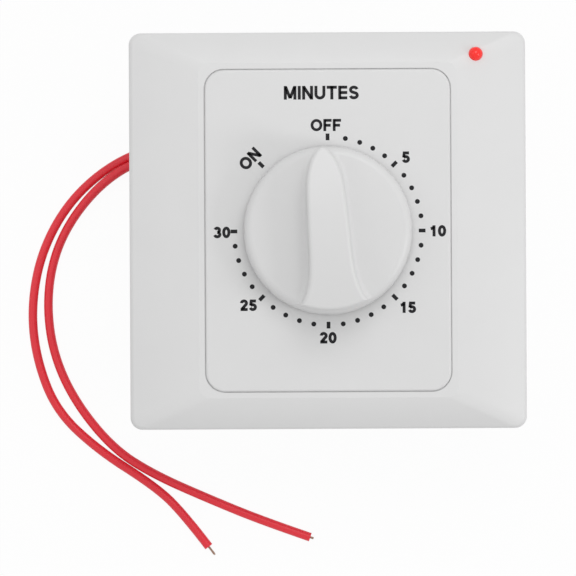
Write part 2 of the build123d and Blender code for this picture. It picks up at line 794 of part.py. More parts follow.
# Heights of the wheels on their staffs
escape_top = front_plate_bottom - escape_level
third_top = front_plate_bottom - third_level
second_top = front_plate_bottom - second_level
main_top = front_plate_bottom - main_level
ratchet_top = front_plate_bottom - ratchet_level
spring_top = front_plate_bottom - spring_level
balance_top = front_plate_bottom - balance_level
escape_bottom = escape_top - train_thickness
third_bottom = third_top - train_thickness
second_bottom = second_top - train_thickness
main_bottom = main_top - main_thickness
ratchet_bottom = ratchet_top - ratchet_thickness
spring_bottom = spring_top - spring_width
balance_bottom = balance_top - balance_thickness
pallet_top = escape_bottom - pallet_gap
pallet_bottom = pallet_top - train_thickness
staff_high = front_plate_bottom - fit_gap
staff_low = back_plate_top + fit_gap
pivot_high = front_plate_top + pivot_overhang
pivot_low = back_plate_bottom - pivot_overhang
spigot_low = back_plate_bottom - pillar_nut - boss_gap

# Two brass plates of the clockwork, notched round the case's bosses
for name, plate_low, journal in (
    ("front_clock_plate", front_plate_bottom, front_journal_radius),
    ("back_clock_plate", back_plate_bottom, rear_journal_radius),
):
    with BuildPart() as clock_sheet:
        with BuildSketch(level(plate_low)):
            RectangleRounded(clock_plate_width, clock_plate_length, clock_plate_corner)
            Circle(journal + running_gap, mode=Mode.SUBTRACT)
            with Locations(*case_screw_places):
                Circle(case_boss_radius + boss_notch_gap, mode=Mode.SUBTRACT)
            with Locations(*pillar_places):
                Circle(spigot_radius + screw_gap, mode=Mode.SUBTRACT)
            with Locations(*pivot_places):
                Circle(pivot_radius + running_gap, mode=Mode.SUBTRACT)
            if plate_low == back_plate_bottom:
                with Locations(spring_post_place):
                    Circle(spring_post_foot_radius + screw_gap, mode=Mode.SUBTRACT)
                with Locations((-block_screw_x, (block_low_y + block_high_y) / 2)):
                    Circle(block_screw_radius + screw_gap, mode=Mode.SUBTRACT)
                with Locations((-block_peg_x, (block_low_y + block_high_y) / 2)):
                    Circle(block_peg_radius + screw_gap, mode=Mode.SUBTRACT)
        extrude(amount=clock_plate)
    clock_sheet.part.label = name
    export_step(clock_sheet.part, f"parts/{name}.step")

# Four shouldered pillars between the plates, and the nuts on their rear spigots
with BuildPart() as pillars:
    for place in pillar_places:
        round_bar(pillar_radius, back_plate_top, front_plate_bottom, place)
        round_bar(spigot_radius, front_plate_bottom, spigot_top, place)
        round_bar(spigot_radius, spigot_low, back_plate_top, place)
pillars.part.label = "pillars"
export_step(pillars.part, "parts/pillars.step")

with BuildPart() as pillar_nuts:
    with BuildSketch(level(back_plate_bottom)):
        with Locations(*pillar_places):
            RegularPolygon(pillar_nut_width / 2, 6, major_radius=False)
            Circle(spigot_radius + screw_gap, mode=Mode.SUBTRACT)
    extrude(amount=-pillar_nut)
pillar_nuts.part.label = "pillar_nuts"
export_step(pillar_nuts.part, "parts/pillar_nuts.step")

# Post that holds the mainspring's outer end
with BuildPart() as spring_post:
    round_bar(spring_post_radius, back_plate_top, spring_top + boss_gap, spring_post_place)
    round_bar(spring_post_foot_radius, back_plate_bottom, back_plate_top, spring_post_place)
spring_post.part.label = "spring_post"
export_step(spring_post.part, "parts/spring_post.step")

# Mainspring: a flat spiral of half turns with a tail to its post
spring_start = arbor_radius + spring_strip / 2
spring_step = spring_pitch / 2
with BuildPart() as mainspring:
    with BuildLine() as spiral:
        for n in range(spring_half_turns):
            turn_radius = spring_start + n * spring_step
            turn_centre = 0 if n % 2 == 0 else spring_step
            CenterArc((turn_centre, 0), turn_radius, 180 * (n % 2), 180)
        tail_start = spiral.line @ 1
        TangentArc((tail_start.X, tail_start.Y), spring_post_place, tangent=(0, -1))
    with BuildSketch(Plane(spiral.line @ 0, x_dir=(1, 0, 0), z_dir=(0, 1, 0))):
        Rectangle(spring_strip, spring_width)
    sweep(path=spiral.line)
    round_bar(spring_post_radius, -spring_width, spring_width, spring_post_place, Mode.SUBTRACT)
mainspring.part.position = (0, 0, (spring_top + spring_bottom) / 2)
mainspring.part.label = "mainspring"
export_step(mainspring.part, "parts/mainspring.step")

# Arbor: the knob's shaft, its journals in the plates and the flat end for the cam
shaft_top = knob_bottom + knob_bore_depth - shaft_top_gap
shaft_shoulder = front_plate_top + boss_gap
arbor_end = cam_bottom - arbor_tail
with BuildPart() as arbor:
    with BuildSketch(level(knob_bottom, knob_rest_turn)):
        Circle(shaft_radius)
        with Locations((0, -shaft_flat - shaft_radius)):
            Rectangle(3 * shaft_radius, 2 * shaft_radius, mode=Mode.SUBTRACT)
    extrude(amount=shaft_top - knob_bottom)
    round_bar(shaft_radius, shaft_shoulder, knob_bottom)
    round_bar(front_journal_radius, staff_high, shaft_shoulder)
    round_bar(arbor_radius, staff_low, staff_high)
    round_bar(rear_journal_radius, cam_top, staff_low)
    with BuildSketch(level(cam_top, knob_rest_turn)):
        Circle(rear_journal_radius)
        with Locations((0, -cam_flat - rear_journal_radius)):
            Rectangle(3 * rear_journal_radius, 2 * rear_journal_radius, mode=Mode.SUBTRACT)
    extrude(amount=arbor_end - cam_top)
arbor.part.label = "arbor"
export_step(arbor.part, "parts/arbor.step")

# Main wheel, ratchet and click; the click's nose rests behind a tooth of the ratchet
click_nose = polar((ratchet_radius + ratchet_root_radius) / 2 + fit_gap * 3, click_nose_turn)
click_pivot = polar(click_pivot_radius, click_nose_turn + click_pivot_turn)
click_foot = polar(click_spring_radius, click_nose_turn - click_spring_turn)
with BuildPart() as main_wheel:
    with BuildSketch(level(main_bottom)):
        Polygon(*toothed_points(main_teeth, main_module, wheel_tooth_shares, second_bearing), align=None)
        Circle(arbor_radius + running_gap, mode=Mode.SUBTRACT)
        with Locations(click_pivot):
            Circle(click_stud_radius + screw_gap, mode=Mode.SUBTRACT)
    extrude(amount=main_thickness)
main_wheel.part.label = "main_wheel"
export_step(main_wheel.part, "parts/main_wheel.step")

with BuildPart() as ratchet_wheel:
    with BuildSketch(level(ratchet_bottom)):
        Polygon(*saw_points(ratchet_teeth, ratchet_radius, ratchet_root_radius), align=None)
        Circle(arbor_radius + screw_gap, mode=Mode.SUBTRACT)
    extrude(amount=ratchet_thickness)
ratchet_wheel.part.label = "ratchet_wheel"
export_step(ratchet_wheel.part, "parts/ratchet_wheel.step")

with BuildPart() as click:
    with BuildSketch(level(ratchet_bottom)):
        with Locations(click_pivot):
            Circle(click_eye_radius)
        with Locations(click_nose):
            Circle(click_nose_radius)
        make_hull()
        with Locations(click_pivot):
            Circle(click_stud_radius + running_gap, mode=Mode.SUBTRACT)
    extrude(amount=ratchet_thickness)
click.part.label = "click"
export_step(click.part, "parts/click.step")

stud_head_top = ratchet_bottom - fit_gap
with BuildPart() as click_stud:
    round_bar(click_stud_radius, stud_head_top, main_top, click_pivot)
    round_bar(click_head_radius, stud_head_top - click_head, stud_head_top, click_pivot)
click_stud.part.label = "click_stud"
export_step(click_stud.part, "parts/click_stud.step")

# Bowed spring that presses on the click, fixed to the back of the main wheel
click_touch = (
    click_nose[0] + click_touch_share * (click_pivot[0] - click_nose[0]),
    click_nose[1] + click_touch_share * (click_pivot[1] - click_nose[1]),
)
bow_middle = polar(
    (click_spring_radius + hypot(*click_touch)) / 2 + click_spring_bow, click_nose_turn - click_spring_turn / 2
)
with BuildPart() as click_spring:
    with BuildLine(level((ratchet_top + ratchet_bottom) / 2)) as bow:
        ThreePointArc(click_foot, bow_middle, click_touch)
    with BuildSketch(Plane(bow.line @ 0, x_dir=(0, 0, 1), z_dir=bow.line % 0)):
        Rectangle(ratchet_thickness, click_spring_thickness)
    sweep(path=bow.line)
    round_bar(2 * click_spring_thickness, ratchet_bottom, main_bottom, click_foot)
    add(click.part, mode=Mode.SUBTRACT)
click_spring.part.label = "click_spring"
export_step(click_spring.part, "parts/click_spring.step")

# Second, third and escape wheels, each on the staff of the pinion that the wheel before drives
for name, centre, teeth, wheel_low, next_bearing in (
    ("second_wheel", second_centre, second_teeth, second_bottom, third_bearing),
    ("third_wheel", third_centre, third_teeth, third_bottom, escape_bearing),
):
    with BuildPart() as train_wheel:
        with BuildSketch(level(wheel_low)):
            with Locations(centre):
                Polygon(*toothed_points(teeth, fine_module, wheel_tooth_shares, next_bearing), align=None)
                Circle(staff_radius + screw_gap, mode=Mode.SUBTRACT)
        extrude(amount=train_thickness)
    train_wheel.part.label = name
    export_step(train_wheel.part, f"parts/{name}.step")

with BuildPart() as escape_wheel:
    with BuildSketch(level(escape_bottom)):
        with Locations(escape_centre):
            Polygon(*saw_points(escape_teeth, escape_tip_radius, escape_root_radius), align=None)
            Circle(staff_radius + screw_gap, mode=Mode.SUBTRACT)
    extrude(amount=train_thickness)
escape_wheel.part.label = "escape_wheel"
export_step(escape_wheel.part, "parts/escape_wheel.step")

for name, centre, module, bearing, leaf_low, leaf_high in (
    ("second_pinion", second_centre, main_module, second_bearing, main_bottom, main_top),
    ("third_pinion", third_centre, fine_module, third_bearing, second_bottom, second_top),
    ("escape_pinion", escape_centre, fine_module, escape_bearing, third_bottom, third_top),
):
    with BuildPart() as pinion:
        with BuildSketch(level(leaf_low - pinion_extra)):
            with Locations(centre):
                Polygon(
                    *toothed_points(pinion_teeth, module, leaf_tooth_shares, bearing + pinion_turn), align=None
                )
        extrude(amount=leaf_high - leaf_low + 2 * pinion_extra)
        round_bar(staff_radius, staff_low, staff_high, centre)
        round_bar(pivot_radius, pivot_low, pivot_high, centre)
    pinion.part.label = name
    export_step(pinion.part, f"parts/{name}.step")

# Balance: staff, pallet lever with two pins before the escape wheel, and the rimmed wheel
pallet_pin_places = [
    polar(pallet_orbit, balance_bearing + side * pallet_angle, escape_centre) for side in (-1, 1)
]
with BuildPart() as balance_staff:
    round_bar(thin_staff_radius, staff_low, staff_high, balance_centre)
    round_bar(pivot_radius, pivot_low, pivot_high, balance_centre)
balance_staff.part.label = "balance_staff"
export_step(balance_staff.part, "parts/balance_staff.step")

with BuildPart() as pallet_lever:
    for pin_place in pallet_pin_places:
        with BuildSketch(level(pallet_bottom)):
            with Locations(balance_centre):
                Circle(pallet_hub_radius)
            with Locations(pin_place):
                Circle(pallet_arm_half)
            make_hull()
        extrude(amount=train_thickness)
        round_bar(pallet_pin_radius + screw_gap, pallet_bottom, pallet_top, pin_place, Mode.SUBTRACT)
    round_bar(thin_staff_radius + screw_gap, pallet_bottom, pallet_top, balance_centre, Mode.SUBTRACT)
pallet_lever.part.label = "pallet_lever"
export_step(pallet_lever.part, "parts/pallet_lever.step")

with BuildPart() as pallet_pins:
    for pin_place in pallet_pin_places:
        round_bar(pallet_pin_radius, pallet_bottom, escape_top + fit_gap, pin_place)
pallet_pins.part.label = "pallet_pins"
export_step(pallet_pins.part, "parts/pallet_pins.step")

with BuildPart() as balance_wheel:
    with BuildSketch(level(balance_bottom)):
        with Locations(balance_centre):
            Circle(balance_radius)
            Circle(balance_radius - balance_rim, mode=Mode.SUBTRACT)
            Rectangle(2 * balance_radius - balance_rim, balance_bar)
            Circle(pallet_hub_radius)
            Circle(thin_staff_radius + screw_gap, mode=Mode.SUBTRACT)
    extrude(amount=balance_thickness)
balance_wheel.part.label = "balance_wheel"
export_step(balance_wheel.part, "parts/balance_wheel.step")

# Cam on the arbor's rear end, with the notch that opens the contacts at OFF
with BuildPart() as cam:
    with BuildSketch(level(cam_bottom, knob_rest_turn)):
        Circle(cam_radius)
        Polygon(
            polar(cam_notch_radius, 180 - cam_notch_foot_half),
            polar(cam_radius + cut_over, 180 - cam_notch_half),
            polar(cam_radius + cut_over, 180 + cam_notch_half),
            polar(cam_notch_radius, 180 + cam_notch_foot_half),
            align=None,
            mode=Mode.SUBTRACT,
        )
        with BuildSketch(mode=Mode.PRIVATE) as seat:
            Circle(rear_journal_radius + screw_gap)
            with Locations((0, -cam_flat - screw_gap - rear_journal_radius)):
                Rectangle(3 * rear_journal_radius, 2 * rear_journal_radius, mode=Mode.SUBTRACT)
        add(seat.sketch, mode=Mode.SUBTRACT)
    extrude(amount=cam_thickness)
cam.part.label = "cam"
export_step(cam.part, "parts/cam.step")

# Contact leaves: the moving one has a bump that rides on the cam
block_middle_y = (block_low_y + block_high_y) / 2
moving_face = -leaf_x + moving_leaf_thickness / 2
moving_side = [
    (moving_face, -leaf_low_y),
    (moving_face, -leaf_bump_half),
    (moving_face + leaf_bump, 0),
    (moving_face, leaf_bump_half),
    (moving_face, moving_tab_y),
]
moving_outline = moving_side + [(x - moving_leaf_thickness, y) for x, y in reversed(moving_side)]
with BuildPart() as moving_leaf:
    with BuildSketch(level(cam_bottom)):
        Polygon(*moving_outline, align=None)
    extrude(amount=cam_thickness)
    with BuildSketch(level(cam_bottom)):
        with Locations((-leaf_x, (block_high_y + moving_tab_y) / 2)):
            Rectangle(moving_leaf_thickness, moving_tab_y - block_high_y)
    extrude(amount=-tab_reach)
moving_leaf.part.label = "moving_leaf"
export_step(moving_leaf.part, "parts/moving_leaf.step")

with BuildPart() as fixed_leaf:
    with BuildSketch(level(cam_bottom)):
        with Locations((-fixed_leaf_x, (fixed_tab_y - leaf_low_y) / 2)):
            Rectangle(fixed_leaf_thickness, fixed_tab_y + leaf_low_y)
    extrude(amount=cam_thickness)
    with BuildSketch(level(cam_bottom)):
        with Locations((-fixed_leaf_x, (block_high_y + fixed_tab_y) / 2)):
            Rectangle(fixed_leaf_thickness, fixed_tab_y - block_high_y)
    extrude(amount=-tab_reach)
fixed_leaf.part.label = "fixed_leaf"
export_step(fixed_leaf.part, "parts/fixed_leaf.step")

for name, face_x, toward in (
    ("moving_contact", -leaf_x - moving_leaf_thickness / 2, -1),
    ("fixed_contact", -fixed_leaf_x + fixed_leaf_thickness / 2, 1),
):
    with BuildPart() as contact:
        with BuildSketch(Plane((face_x, -contact_y, contact_z), z_dir=(toward, 0, 0))):
            Circle(contact_radius)
        extrude(amount=contact_thickness)
    contact.part.label = name
    export_step(contact.part, f"parts/{name}.step")

# Block that holds both leaves on the back plate, with one screw and one peg
block_low = back_plate_bottom - block_depth
with BuildPart() as contact_block:
    with BuildSketch(level(block_low)):
        with Locations((-(block_inner_x + block_outer_x) / 2, block_middle_y)):
            Rectangle(block_outer_x - block_inner_x, block_high_y - block_low_y)
    extrude(amount=block_depth)
    with BuildSketch(level(block_low)):
        with Locations((-leaf_x, block_middle_y)):
            Rectangle(moving_leaf_thickness + 2 * screw_gap, block_high_y - block_low_y)
        with Locations((-fixed_leaf_x, block_middle_y)):
            Rectangle(fixed_leaf_thickness + 2 * screw_gap, block_high_y - block_low_y)
    extrude(amount=cam_top - block_low, mode=Mode.SUBTRACT)
    round_bar(block_peg_radius, back_plate_bottom, back_plate_top, (-block_peg_x, block_middle_y))
    screw_place = (-block_screw_x, block_middle_y)
    round_bar(block_screw_radius + boss_gap, block_low, back_plate_bottom, screw_place, Mode.SUBTRACT)
contact_block.part.label = "contact_block"
export_step(contact_block.part, "parts/contact_block.step")

with BuildPart() as block_screw:
    round_bar(block_screw_radius, block_low, back_plate_top, (-block_screw_x, block_middle_y))
    head_low = block_low - block_screw_head
    round_bar(block_screw_head_radius, head_low, block_low, (-block_screw_x, block_middle_y))
    with BuildSketch(level(head_low)):
        with Locations((-block_screw_x, block_middle_y)):
            Rectangle(2 * block_screw_head_radius, screw_slot_width)
    extrude(amount=screw_slot_depth, mode=Mode.SUBTRACT)
block_screw.part.label = "block_screw"
export_step(block_screw.part, "parts/block_screw.step")

# Ends of the leads inside the case, through the grommet to the leaves' tabs
with BuildPart() as lead_tails:
    for lead_y, tab_face_x in (
        (lead_a_y, -leaf_x - moving_leaf_thickness / 2),
        (lead_b_y, -fixed_leaf_x - fixed_leaf_thickness / 2),
    ):
        with BuildSketch(Plane((grommet_face_x, lead_y, lead_z), z_dir=(1, 0, 0))):
            Circle(lead_radius)
        extrude(amount=tab_face_x - grommet_face_x)
lead_tails.part.label = "lead_tails"
export_step(lead_tails.part, "parts/lead_tails.step")

# Two leads from the grommet, down to the surface below the case and round to their cut ends
lead_a_route = [
    (grommet_face_x, lead_a_y, lead_z),
    (-39.8, lead_a_y, lead_z),
    (-50.0, 14.4, lead_lie),
    (-58.5, 6.3, lead_lie),
    (-64.2, -4.5, lead_lie),
    (-66.4, -16.5, lead_lie),
    (-65.3, -28.0, lead_lie),
    (-60.9, -39.7, lead_lie),
    (-51.5, -48.6, lead_lie),
    (-39.4, -56.4, lead_lie),
    (-33.1, -62.1, lead_lie),
    (-26.8, -70.4, lead_lie),
]
lead_b_route = [
    (grommet_face_x, lead_b_y, lead_z),
    (-41.0, lead_b_y, lead_z),
    (-49.4, 12.2, lead_z - lead_b_drop),
    (-56.6, 4.4, lead_lie),
    (-61.2, -4.6, lead_lie),
    (-62.9, -15.2, lead_lie),
    (-61.6, -26.6, lead_lie),
    (-56.9, -37.4, lead_lie),
    (-48.3, -48.2, lead_lie),
    (-39.0, -54.2, lead_lie),
    (-26.2, -59.9, lead_lie),
    (-14.6, -64.7, lead_lie),
    (-4.0, -68.4, lead_lie),
]
for name, route, bare_length in (
    ("lead_a", lead_a_route, bare_length_a),
    ("lead_b", lead_b_route, bare_length_b),
):
    radii = bend_radii(route)
    print(name, "bend radii", [round(radius, 1) for radius in radii])
    with BuildPart() as lead:
        with BuildLine() as lead_path:
            FilletPolyline(*route, radius=radii)
        with BuildSketch(Plane(route[0], z_dir=(-1, 0, 0))):
            Circle(lead_radius)
        sweep(path=lead_path.line)
    lead.part.label = name
    export_step(lead.part, f"parts/{name}.step")
    with BuildPart() as bare_end:
        with BuildSketch(Plane(lead_path.line @ 1, z_dir=lead_path.line % 1)):
            Circle(conductor_radius)
        extrude(amount=bare_length)
    bare_end.part.label = f"{name}_end"
    export_step(bare_end.part, f"parts/{name}_end.step")
    print(name, "length", round(sum(edge.length for edge in lead_path.edges()), 1))
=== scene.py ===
# %% [markdown]
# # A clockwork timer switch for a wall
# The switch lies on its back on a white table: a square white plate, a cover plate with a
# printed dial, a knob with a bar grip, a small red lamp, and two red leads that come out from
# under the plate. The solid pieces come from the CAD frame and only get their finishes here. The
# leads, their bare strands and the dial's print are made in this script, because they are soft,
# fine or flat.

# %% Load the frame
import json
from math import cos, pi, radians, sin

import bmesh
import bpy
from mathutils import Matrix, Vector


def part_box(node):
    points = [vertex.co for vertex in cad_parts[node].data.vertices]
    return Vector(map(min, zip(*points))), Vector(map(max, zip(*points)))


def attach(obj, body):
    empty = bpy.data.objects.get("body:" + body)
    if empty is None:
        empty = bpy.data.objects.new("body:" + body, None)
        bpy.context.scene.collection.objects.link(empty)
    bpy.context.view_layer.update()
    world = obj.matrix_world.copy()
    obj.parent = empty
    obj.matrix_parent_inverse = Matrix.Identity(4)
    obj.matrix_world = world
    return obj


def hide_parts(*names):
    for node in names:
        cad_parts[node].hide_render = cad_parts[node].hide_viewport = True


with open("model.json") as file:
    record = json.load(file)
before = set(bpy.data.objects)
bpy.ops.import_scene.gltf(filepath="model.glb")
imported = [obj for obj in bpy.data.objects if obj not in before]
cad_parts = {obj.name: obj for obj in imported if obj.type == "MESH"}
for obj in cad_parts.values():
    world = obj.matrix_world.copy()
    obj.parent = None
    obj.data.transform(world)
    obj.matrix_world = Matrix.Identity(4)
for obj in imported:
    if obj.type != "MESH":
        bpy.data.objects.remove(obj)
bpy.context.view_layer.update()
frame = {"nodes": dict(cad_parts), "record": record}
MM = 0.001
print("pieces in the frame:", len(frame["nodes"]))

# %% [markdown]
# ## The camera
# The photograph was taken from straight above with a long lens, so the plate's sides hardly show
# and its edges stay parallel. A long lens far away gives the same flat look. The middle of the
# picture is a little left of and below the knob, and the plate leans a third of a degree in the
# frame.

# %% Camera
def link(thing):
    """Puts a new object into the scene and gives it back."""
    bpy.context.scene.collection.objects.link(thing)
    return thing


SENSOR_WIDTH, LENS_LENGTH = 36, 260.7
CAMERA_PLACE = (-8.7, -12.4, 909)
CAMERA_LEAN = -0.3
camera = link(bpy.data.objects.new("camera", bpy.data.cameras.new("camera")))
camera.data.sensor_width = SENSOR_WIDTH
camera.data.lens = LENS_LENGTH
camera.location = [size * MM for size in CAMERA_PLACE]
camera.rotation_euler = (0, 0, radians(CAMERA_LEAN))
bpy.context.scene.camera = camera
bpy.context.scene.view_settings.view_transform = "Standard"
camera_height = camera.location.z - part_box("case_body")[0][2]
print("camera height over the table, mm:", round(camera_height / MM))

# %% [markdown]
# ## The two leads
# Each lead is one length of PVC-covered flex, 2 mm thick. Both leave the grommet side by side,
# drop to the table and swing round in one lazy curve to their cut ends. A NURBS spline through a
# few control points bends like flex does, with no kinks, so the route's points are the spline's
# control points.

# %% Routes of the leads, in millimetres
LEAD_A_ROUTE = [
    (-29.8, 19.2, -25.5),
    (-39.8, 19.2, -25.5),
    (-50.0, 14.4, -28.0),
    (-58.5, 6.3, -28.0),
    (-64.2, -4.5, -28.0),
    (-66.4, -16.5, -28.0),
    (-65.3, -28.0, -28.0),
    (-60.9, -39.7, -28.0),
    (-51.5, -48.6, -28.0),
    (-39.4, -56.4, -28.0),
    (-33.1, -62.1, -28.0),
    (-26.8, -70.4, -28.0),
]
LEAD_B_ROUTE = [
    (-29.8, 16.9, -25.5),
    (-41.0, 16.9, -25.5),
    (-49.4, 12.2, -26.4),
    (-56.6, 4.4, -28.0),
    (-61.2, -4.6, -28.0),
    (-62.9, -15.2, -28.0),
    (-61.6, -26.6, -28.0),
    (-56.9, -37.4, -28.0),
    (-48.3, -48.2, -28.0),
    (-39.0, -54.2, -28.0),
    (-26.2, -59.9, -28.0),
    (-14.6, -64.7, -28.0),
    (-4.0, -68.4, -28.0),
]


# %% Covered flex along a route
def flex(name, route, radius):
    """A round lead whose centre line is one smooth spline, with flat cut ends.

    The points carry the radius and the bevel is 1, so that the curve's bounds lie close round it.
    """
    curve = bpy.data.curves.new(name, "CURVE")
    curve.dimensions = "3D"
    spline = curve.splines.new("NURBS")
    spline.points.add(len(route) - 1)
    for point, place in zip(spline.points, route):
        point.co = (*[size * MM for size in place], 1)
        point.radius = radius * MM
    spline.order_u = 3
    spline.use_endpoint_u = True
    spline.use_smooth = True
    spline.resolution_u = 16
    curve.bevel_depth = 1
    curve.bevel_resolution = 7
    curve.use_fill_caps = True
    return link(bpy.data.objects.new(name, curve))


LEAD_RADIUS = 1.0
lead_a = flex("lead_a_flex", LEAD_A_ROUTE, LEAD_RADIUS)
lead_b = flex("lead_b_flex", LEAD_B_ROUTE, LEAD_RADIUS)


# %% [markdown]
# At each cut end the copper shows: fine tinned strands with a little twist. Seven thin wires,
# one in the middle and six wound round it, give the right broken outline, where a plain rod
# would look solid.

# %% Bare strands at the cut ends
def strands(name, route, length, strand_radius=0.09, lay=0.17, twist=70):
    """Six strands wound round a seventh, as a mesh that carries on from the end of a route."""
    end = Vector(route[-1])
    along = (end - Vector(route[-2])).normalized()
    across = along.cross((0, 0, 1)).normalized()
    upward = across.cross(along)
    curve = bpy.data.curves.new(name, "CURVE")
    curve.dimensions = "3D"
    curve.bevel_depth = strand_radius * MM
    curve.bevel_resolution = 3
    curve.use_fill_caps = True
    steps = 6
    wound = 6
    for n in range(wound + 1):
        out = lay if n else 0
        cut = 1 - 0.05 * (n % 3)
        spline = curve.splines.new("POLY")
        spline.points.add(steps)
        spline.use_smooth = True
        for k, point in enumerate(spline.points):
            reach = length * cut * k / steps
            angle = radians(360 / wound * n + twist * k / steps)
            place = end + along * reach + (across * cos(angle) + upward * sin(angle)) * out
            point.co = (*(place * MM), 1)
    line = link(bpy.data.objects.new(name + "_line", curve))
    evaluated = line.evaluated_get(bpy.context.evaluated_depsgraph_get())
    mesh = bpy.data.meshes.new_from_object(evaluated)
    bpy.data.objects.remove(line)
    return link(bpy.data.objects.new(name, mesh))


BARE_A, BARE_B = 2.3, 0.8
strands_a = strands("lead_a_strands", LEAD_A_ROUTE, BARE_A)
strands_b = strands("lead_b_strands", LEAD_B_ROUTE, BARE_B)

# %% Hang the leads on the root body and hide the frame's own leads
for lead, bare, route, length, ends in (
    (lead_a, strands_a, LEAD_A_ROUTE, 0.127, ("lead_a", "lead_a_end")),
    (lead_b, strands_b, LEAD_B_ROUTE, 0.1375, ("lead_b", "lead_b_end")),
):
    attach(lead, "root")
    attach(bare, "root")
    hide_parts(ends[0])
    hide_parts(ends[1])
print("leads laid:", lead_a.name, lead_b.name)

# %% [markdown]
# ## The dial's print
# The dial is pad-printed in dark ink: a short bar for every fifth minute, a dot for each minute in
# between, the numbers, ON and OFF. Ink has no thickness worth the name, so the print is a set of
# flat faces a hair above the cover.

# %% Sheet of ink that the marks are added to
INK_LIFT = 0.012
INK_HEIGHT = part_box("cover_plate")[1][2] + INK_LIFT * MM
DIAL_MIDDLE = Vector((0, -0.15))
ink = bmesh.new()


def add_faces(points):
    """One flat inked face through points given in millimetres."""
    ink.faces.new([ink.verts.new((x * MM, y * MM, INK_HEIGHT)) for x, y in points])


# %% Bars and dots on the minute ring
def on_ring(minutes, radius, across=0.0):
    """A point on the dial at so many minutes, a distance out and a distance along the ring."""
    angle = radians(90 - MINUTE_TURN * minutes)
    out = Vector((cos(angle), sin(angle)))
    aside = Vector((sin(angle), -cos(angle)))
    return out * radius + aside * across + DIAL_MIDDLE


RING_RADIUS, MINUTE_TURN = 20.3, 9
BAR_WIDTH, BAR_LENGTH, DOT_RADIUS = 0.80, 1.45, 0.53
DOT_TURNS = [n * pi / 10 for n in range(20)]
# The first four dots stand a little past their minutes. The bar at minute 35 belongs to ON.
FIRST_DOTS = [1.21, 2.22, 3.19, 4.14]
for minutes in range(0, 40, 5):
    add_faces(
        [
            on_ring(minutes, RING_RADIUS + rise * BAR_LENGTH / 2, side * BAR_WIDTH / 2)
            for rise, side in ((-1, -1), (-1, 1), (1, 1), (1, -1))
        ]
    )
for minutes in FIRST_DOTS + [n for n in range(5, 30) if n % 5]:
    middle = on_ring(minutes, RING_RADIUS)
    add_faces([middle + Vector((cos(turn), sin(turn))) * DOT_RADIUS for turn in DOT_TURNS])
print("marks on the ring:", len(ink.faces))

# %% [markdown]
# ## Letters and numbers
# The dial's figures are bold and plain, so each is drawn as a few strokes of even weight. A
# stroke is a centre line in parts of the figure's height; a ribbon of flat faces follows it and
# keeps its width round the bends. Round parts are pieces of an ellipse.


# %% Strokes of each figure
def bend(middle, radii, start, end, steps=14):
    """Points along an ellipse between two angles."""
    angles = [radians(start + (end - start) * k / steps) for k in range(steps + 1)]
    (x, y), (wide, high) = middle, radii
    return [(x + wide * cos(angle), y + high * sin(angle)) for angle in angles]


# A figure's width and its strokes, in parts of its height
STEM = [(0.11, 0), (0.11, 1)]
FIGURES = {
    "0": (0.7, [bend((0.35, 0.5), (0.235, 0.385), 0, 360, 30)]),
    "1": (0.7, [[(0.43, 0), (0.43, 1)], [(0.13, 0.7), (0.29, 0.73), (0.4, 0.85)]]),
    "2": (
        0.7,
        [
            bend((0.35, 0.69), (0.225, 0.2), 178, -38) + [(0.15, 0.14)],
            [(0.04, 0.12), (0.68, 0.12)],
        ],
    ),
    "3": (
        0.7,
        [bend((0.335, 0.7), (0.2, 0.185), 165, -90), bend((0.335, 0.31), (0.235, 0.2), 90, -168)],
    ),
    "5": (
        0.7,
        [[(0.63, 0.88), (0.2, 0.88), (0.15, 0.47)], bend((0.34, 0.33), (0.235, 0.22), 145, -165)],
    ),
    "E": (0.68, [STEM] + [[(0.11, rise), (0.66, rise)] for rise in (0.11, 0.5, 0.89)]),
    "F": (0.68, [STEM, [(0.11, 0.89), (0.68, 0.89)], [(0.11, 0.48), (0.6, 0.48)]]),
    "I": (0.22, [STEM]),
    "M": (
        0.92,
        [[(x, 0), (x, 1)] for x in (0.11, 0.81)] + [[(x, 0.92), (0.46, 0.1)] for x in (0.14, 0.78)],
    ),
    "N": (0.8, [STEM, [(0.69, 0), (0.69, 1)], [(0.12, 0.93), (0.68, 0.07)]]),
    "O": (0.96, [bend((0.48, 0.5), (0.37, 0.39), 0, 360, 30)]),
    "S": (
        0.72,
        [bend((0.36, 0.7), (0.24, 0.19), 12, 232) + bend((0.36, 0.3), (0.25, 0.19), 52, -168)],
    ),
    "T": (0.74, [[(0.37, 0), (0.37, 1)], [(0, 0.89), (0.74, 0.89)]]),
    "U": (0.8, [[(0.11, 1)] + bend((0.4, 0.38), (0.29, 0.27), 180, 360) + [(0.69, 1)]]),
}


# %% Ribbons along the strokes
def ribbon(points, width):
    """Pairs of edge points beside a line; a line that ends where it starts is closed."""
    line = [Vector(point) for point in points]
    closed = (line[0] - line[-1]).length < 0.001
    pairs = []
    for k, point in enumerate(line):
        before = line[k - 1] if k else line[-2] if closed else None
        after = line[k + 1] if k + 1 < len(line) else line[1] if closed else None
        spans = ((before, point), (point, after))
        ways = [(end - start).normalized() for start, end in spans if start and end]
        way = sum(ways, Vector((0, 0))).normalized()
        side = Vector((-way.y, way.x)) * (width / 2 / way.dot(ways[0]))
        pairs.append((point + side, point - side))
    return pairs


def write(text, middle, height, turn=0, weight=0.22, gap=0.1):
    """Adds a word to the ink, centred on a point, with figures of a stated height."""
    turned = Matrix.Rotation(radians(turn), 2)
    length = sum(FIGURES[letter][0] + gap for letter in text) - gap
    start = -length / 2
    for letter in text:
        width, strokes = FIGURES[letter]
        shift = Vector((start, -0.5))
        for stroke in strokes:
            pairs = [
                [turned @ (corner + shift) * height + Vector(middle) for corner in pair]
                for pair in ribbon(stroke, weight)
            ]
            for (near_left, near_right), (far_left, far_right) in zip(pairs, pairs[1:]):
                add_faces([near_left, near_right, far_right, far_left])
        start += width + gap


